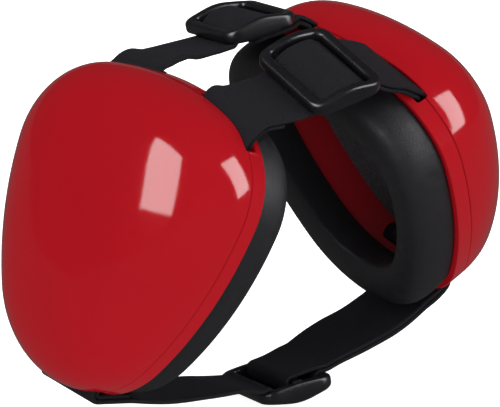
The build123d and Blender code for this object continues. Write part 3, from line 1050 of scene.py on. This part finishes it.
def webbing():
    """Woven elastic: narrow lengthwise ribs crossed by picks, from the webbing's own UVs."""
    made = Finish("webbing", (0.009, 0.0088, 0.011), 0.8)
    made.shader.inputs["Specular IOR Level"].default_value = 0.12
    split = made.node("ShaderNodeSeparateXYZ", Vector=made.node("ShaderNodeUVMap").outputs["UV"])
    along, across = split.outputs["X"], split.outputs["Y"]
    ribs = made.maths("ABSOLUTE", made.maths("SINE", made.maths("MULTIPLY", across, pi / RIB)))
    row = made.maths("FLOOR", made.maths("DIVIDE", across, RIB))
    offset = made.maths("MULTIPLY", made.maths("MODULO", row, 2.0), pi / 2)
    phase = made.maths("ADD", made.maths("MULTIPLY", along, pi / PICK), offset)
    picks = made.maths("ABSOLUTE", made.maths("SINE", phase))
    weave = made.maths("MULTIPLY", made.maths("POWER", ribs, 0.7), made.maths("ADD", picks, 0.35))
    fuzz = made.noise(3500.0, 3.0)
    height = made.maths("ADD", weave, made.maths("MULTIPLY", fuzz, 0.35))
    # painted shade: the webbing's colour is darker in the weave's grooves between ribs and picks, times a
    # random fibre tone from the fuzz
    weave_shade_and_fibre_tone = made.maths("MULTIPLY", made.ramp(weave, 0.25, 1.0), made.ramp(fuzz, 0.6, 1.2))
    made.tint(weave_shade_and_fibre_tone, (0.0045, 0.0044, 0.0058), (0.0100, 0.0096, 0.0125))
    made.bump(height, 0.08)
    return made.material


def black_plastic():
    """Moulded black acetal of the sliders, slightly worn along its faces."""
    made = Finish("black_plastic", (0.007, 0.007, 0.009), 0.26, IOR=1.46)
    made.tint(made.noise(80.0, 3.0), (0.0060, 0.0060, 0.0075), (0.0100, 0.0098, 0.0120))
    made.rough(made.ramp(made.noise(90.0, 4.0), 0.24, 0.32, 0.3, 0.7))
    made.bump(made.noise(1800.0, 2.0), 0.004)
    return made.material


def steel():
    """Plated steel of the bars and screws, with drawn scratches."""
    made = Finish("steel", (0.55, 0.55, 0.56), 0.3, Metallic=1.0)
    stretched = made.node("ShaderNodeMapping", Vector=made.place(), Scale=(1.0, 0.08, 1.0))
    made.rough(made.ramp(made.noise(3000.0, 3.0, stretched.outputs["Vector"]), 0.22, 0.45))
    made.tint(made.noise(200.0, 3.0), (0.45, 0.45, 0.46), (0.62, 0.62, 0.63))
    return made.material


# ---------------------------------------------------------------- studio
# corners of the soft boxes whose reflections show on the domes
SOFT_BOXES = [
    [(-0.38, 0.38, 0.89), (-0.46, -0.17, 0.94), (-0.88, -0.59, 0.14), (-1.03, -0.02, 0.29)],
    [(0.24, -0.65, 0.79), (0.66, -0.44, 0.675), (0.75, -0.70, 0.12), (0.485, -0.91, 0.06)],
]


def add_camera():
    """Camera at the product's three-quarter front view, from above its left side."""
    data = bpy.data.cameras.new("camera")
    data.lens, data.sensor_width = CAMERA_LENS, SENSOR
    camera = bpy.data.objects.new("camera", data)
    bpy.context.scene.collection.objects.link(camera)
    turn = Matrix.Rotation(-radians(CAMERA_AZIMUTH), 4, "Z")
    tilt = Matrix.Rotation(radians(90 - CAMERA_DOWN), 4, "X")
    roll = Matrix.Rotation(radians(CAMERA_ROLL), 4, "Z")
    camera.matrix_world = Matrix.Translation(CAMERA_PLACE) @ turn @ tilt @ roll
    bpy.context.scene.camera = camera


def add_panel(name, place, target, size, power):
    """Rectangular soft light that faces a target and isn't seen itself."""
    data = bpy.data.lights.new(name, "AREA")
    data.shape = "RECTANGLE"
    data.size, data.size_y = size
    data.energy = power
    light = bpy.data.objects.new(name, data)
    bpy.context.scene.collection.objects.link(light)
    light.location = place
    direction = Vector(target) - Vector(place)
    light.rotation_euler = direction.to_track_quat("-Z", "Y").to_euler()
    light.visible_camera = light.visible_glossy = False
    return light


def add_sheet(name, corners, colour, glow, camera, diffuse, glossy):
    """Glowing flat card of the studio, with the kinds of ray that see it."""
    mesh = bpy.data.meshes.new(name)
    mesh.from_pydata(corners, [], [(0, 1, 2, 3)])
    made = Finish(name, colour, 0.9, Emission_Color=(1, 1, 1, 1), Emission_Strength=glow)
    made.shader.inputs["Specular IOR Level"].default_value = 0.0
    mesh.materials.append(made.material)
    sheet = bpy.data.objects.new(name, mesh)
    bpy.context.scene.collection.objects.link(sheet)
    sheet.visible_camera, sheet.visible_diffuse, sheet.visible_glossy = camera, diffuse, glossy
    return sheet


def level_sheet(reach, z):
    return [(-reach, -reach, z), (reach, -reach, z), (reach, reach, z), (-reach, reach, z)]


def add_tent(reach, base, glow):
    """Light tent round the subject: five cards and a base that only diffuse rays see."""
    low, high = level_sheet(reach, base), level_sheet(reach, base + 2 * reach)
    add_sheet("tent_base", low, (0.0, 0.0, 0.0), glow, False, True, False)
    add_sheet("tent_top", high, (0.0, 0.0, 0.0), glow, False, True, False)
    for i in range(4):
        k = (i + 1) % 4
        wall = [low[i], low[k], high[k], high[i]]
        add_sheet(f"tent_wall_{i}", wall, (0.0, 0.0, 0.0), glow, False, True, False)


def add_world(strength):
    world = bpy.data.worlds.new("studio")
    world.use_nodes = True
    world.node_tree.nodes["Background"].inputs["Color"].default_value = (1, 1, 1, 1)
    world.node_tree.nodes["Background"].inputs["Strength"].default_value = strength
    bpy.context.scene.world = world


def dress_cad_nodes(metal):
    """Finish of the CAD pieces that stay in view."""
    for name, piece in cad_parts.items():
        if name.endswith(("_strap_bars", "_plate_screws")):
            piece.data.materials.clear()
            piece.data.materials.append(metal)


# ---------------------------------------------------------------- the ear muff
add_camera()
scene = bpy.context.scene
scene.view_settings.view_transform = "Standard"

red, inner_red, skin = red_plastic(), dark_red_plastic(), cushion_skin()
open_foam, woven, black = foam(), webbing(), black_plastic()
cushion = cushion_shape(skin)
for side in (-1, 1):
    cup = f"{side_name(side)}_cup"
    dome = build_dome(side, red)
    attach(dome, cup)
    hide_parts(f"{side_name(side)}_outer_shell")
    ring = build_ring(side, red)
    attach(ring, cup)
    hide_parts(f"{side_name(side)}_rim_ring")
    build_cushion(side, cushion, skin)
    build_collar(side, inner_red)
    build_foam(side, open_foam)
for strap in all_straps():
    build_strap(strap, woven)
    build_slider(strap, black)
dress_cad_nodes(steel())

low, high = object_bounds()
floor_z = low.z - 0.0005
add_sheet("floor", level_sheet(12.0, floor_z), (0.9, 0.9, 0.9), 0.85, True, False, False)
add_sheet("reflected_floor", level_sheet(12.0, floor_z - 0.001), (0.0, 0.0, 0.0), 0.10, False, False, True)
add_tent(2.5, floor_z - 0.002, 0.92)
for number, corners in enumerate(SOFT_BOXES):
    add_sheet(f"soft_box_{number}", corners, (0.0, 0.0, 0.0), 9.0, False, False, True)
add_world(0.04)
add_panel("overhead", (-0.3, -0.5, 1.5), (0, 0, 0), (1.8, 1.8), 2.5)
add_panel("front", (-0.4, -1.6, 0.33), (0, 0, -0.02), (1.4, 0.6), 5.0)
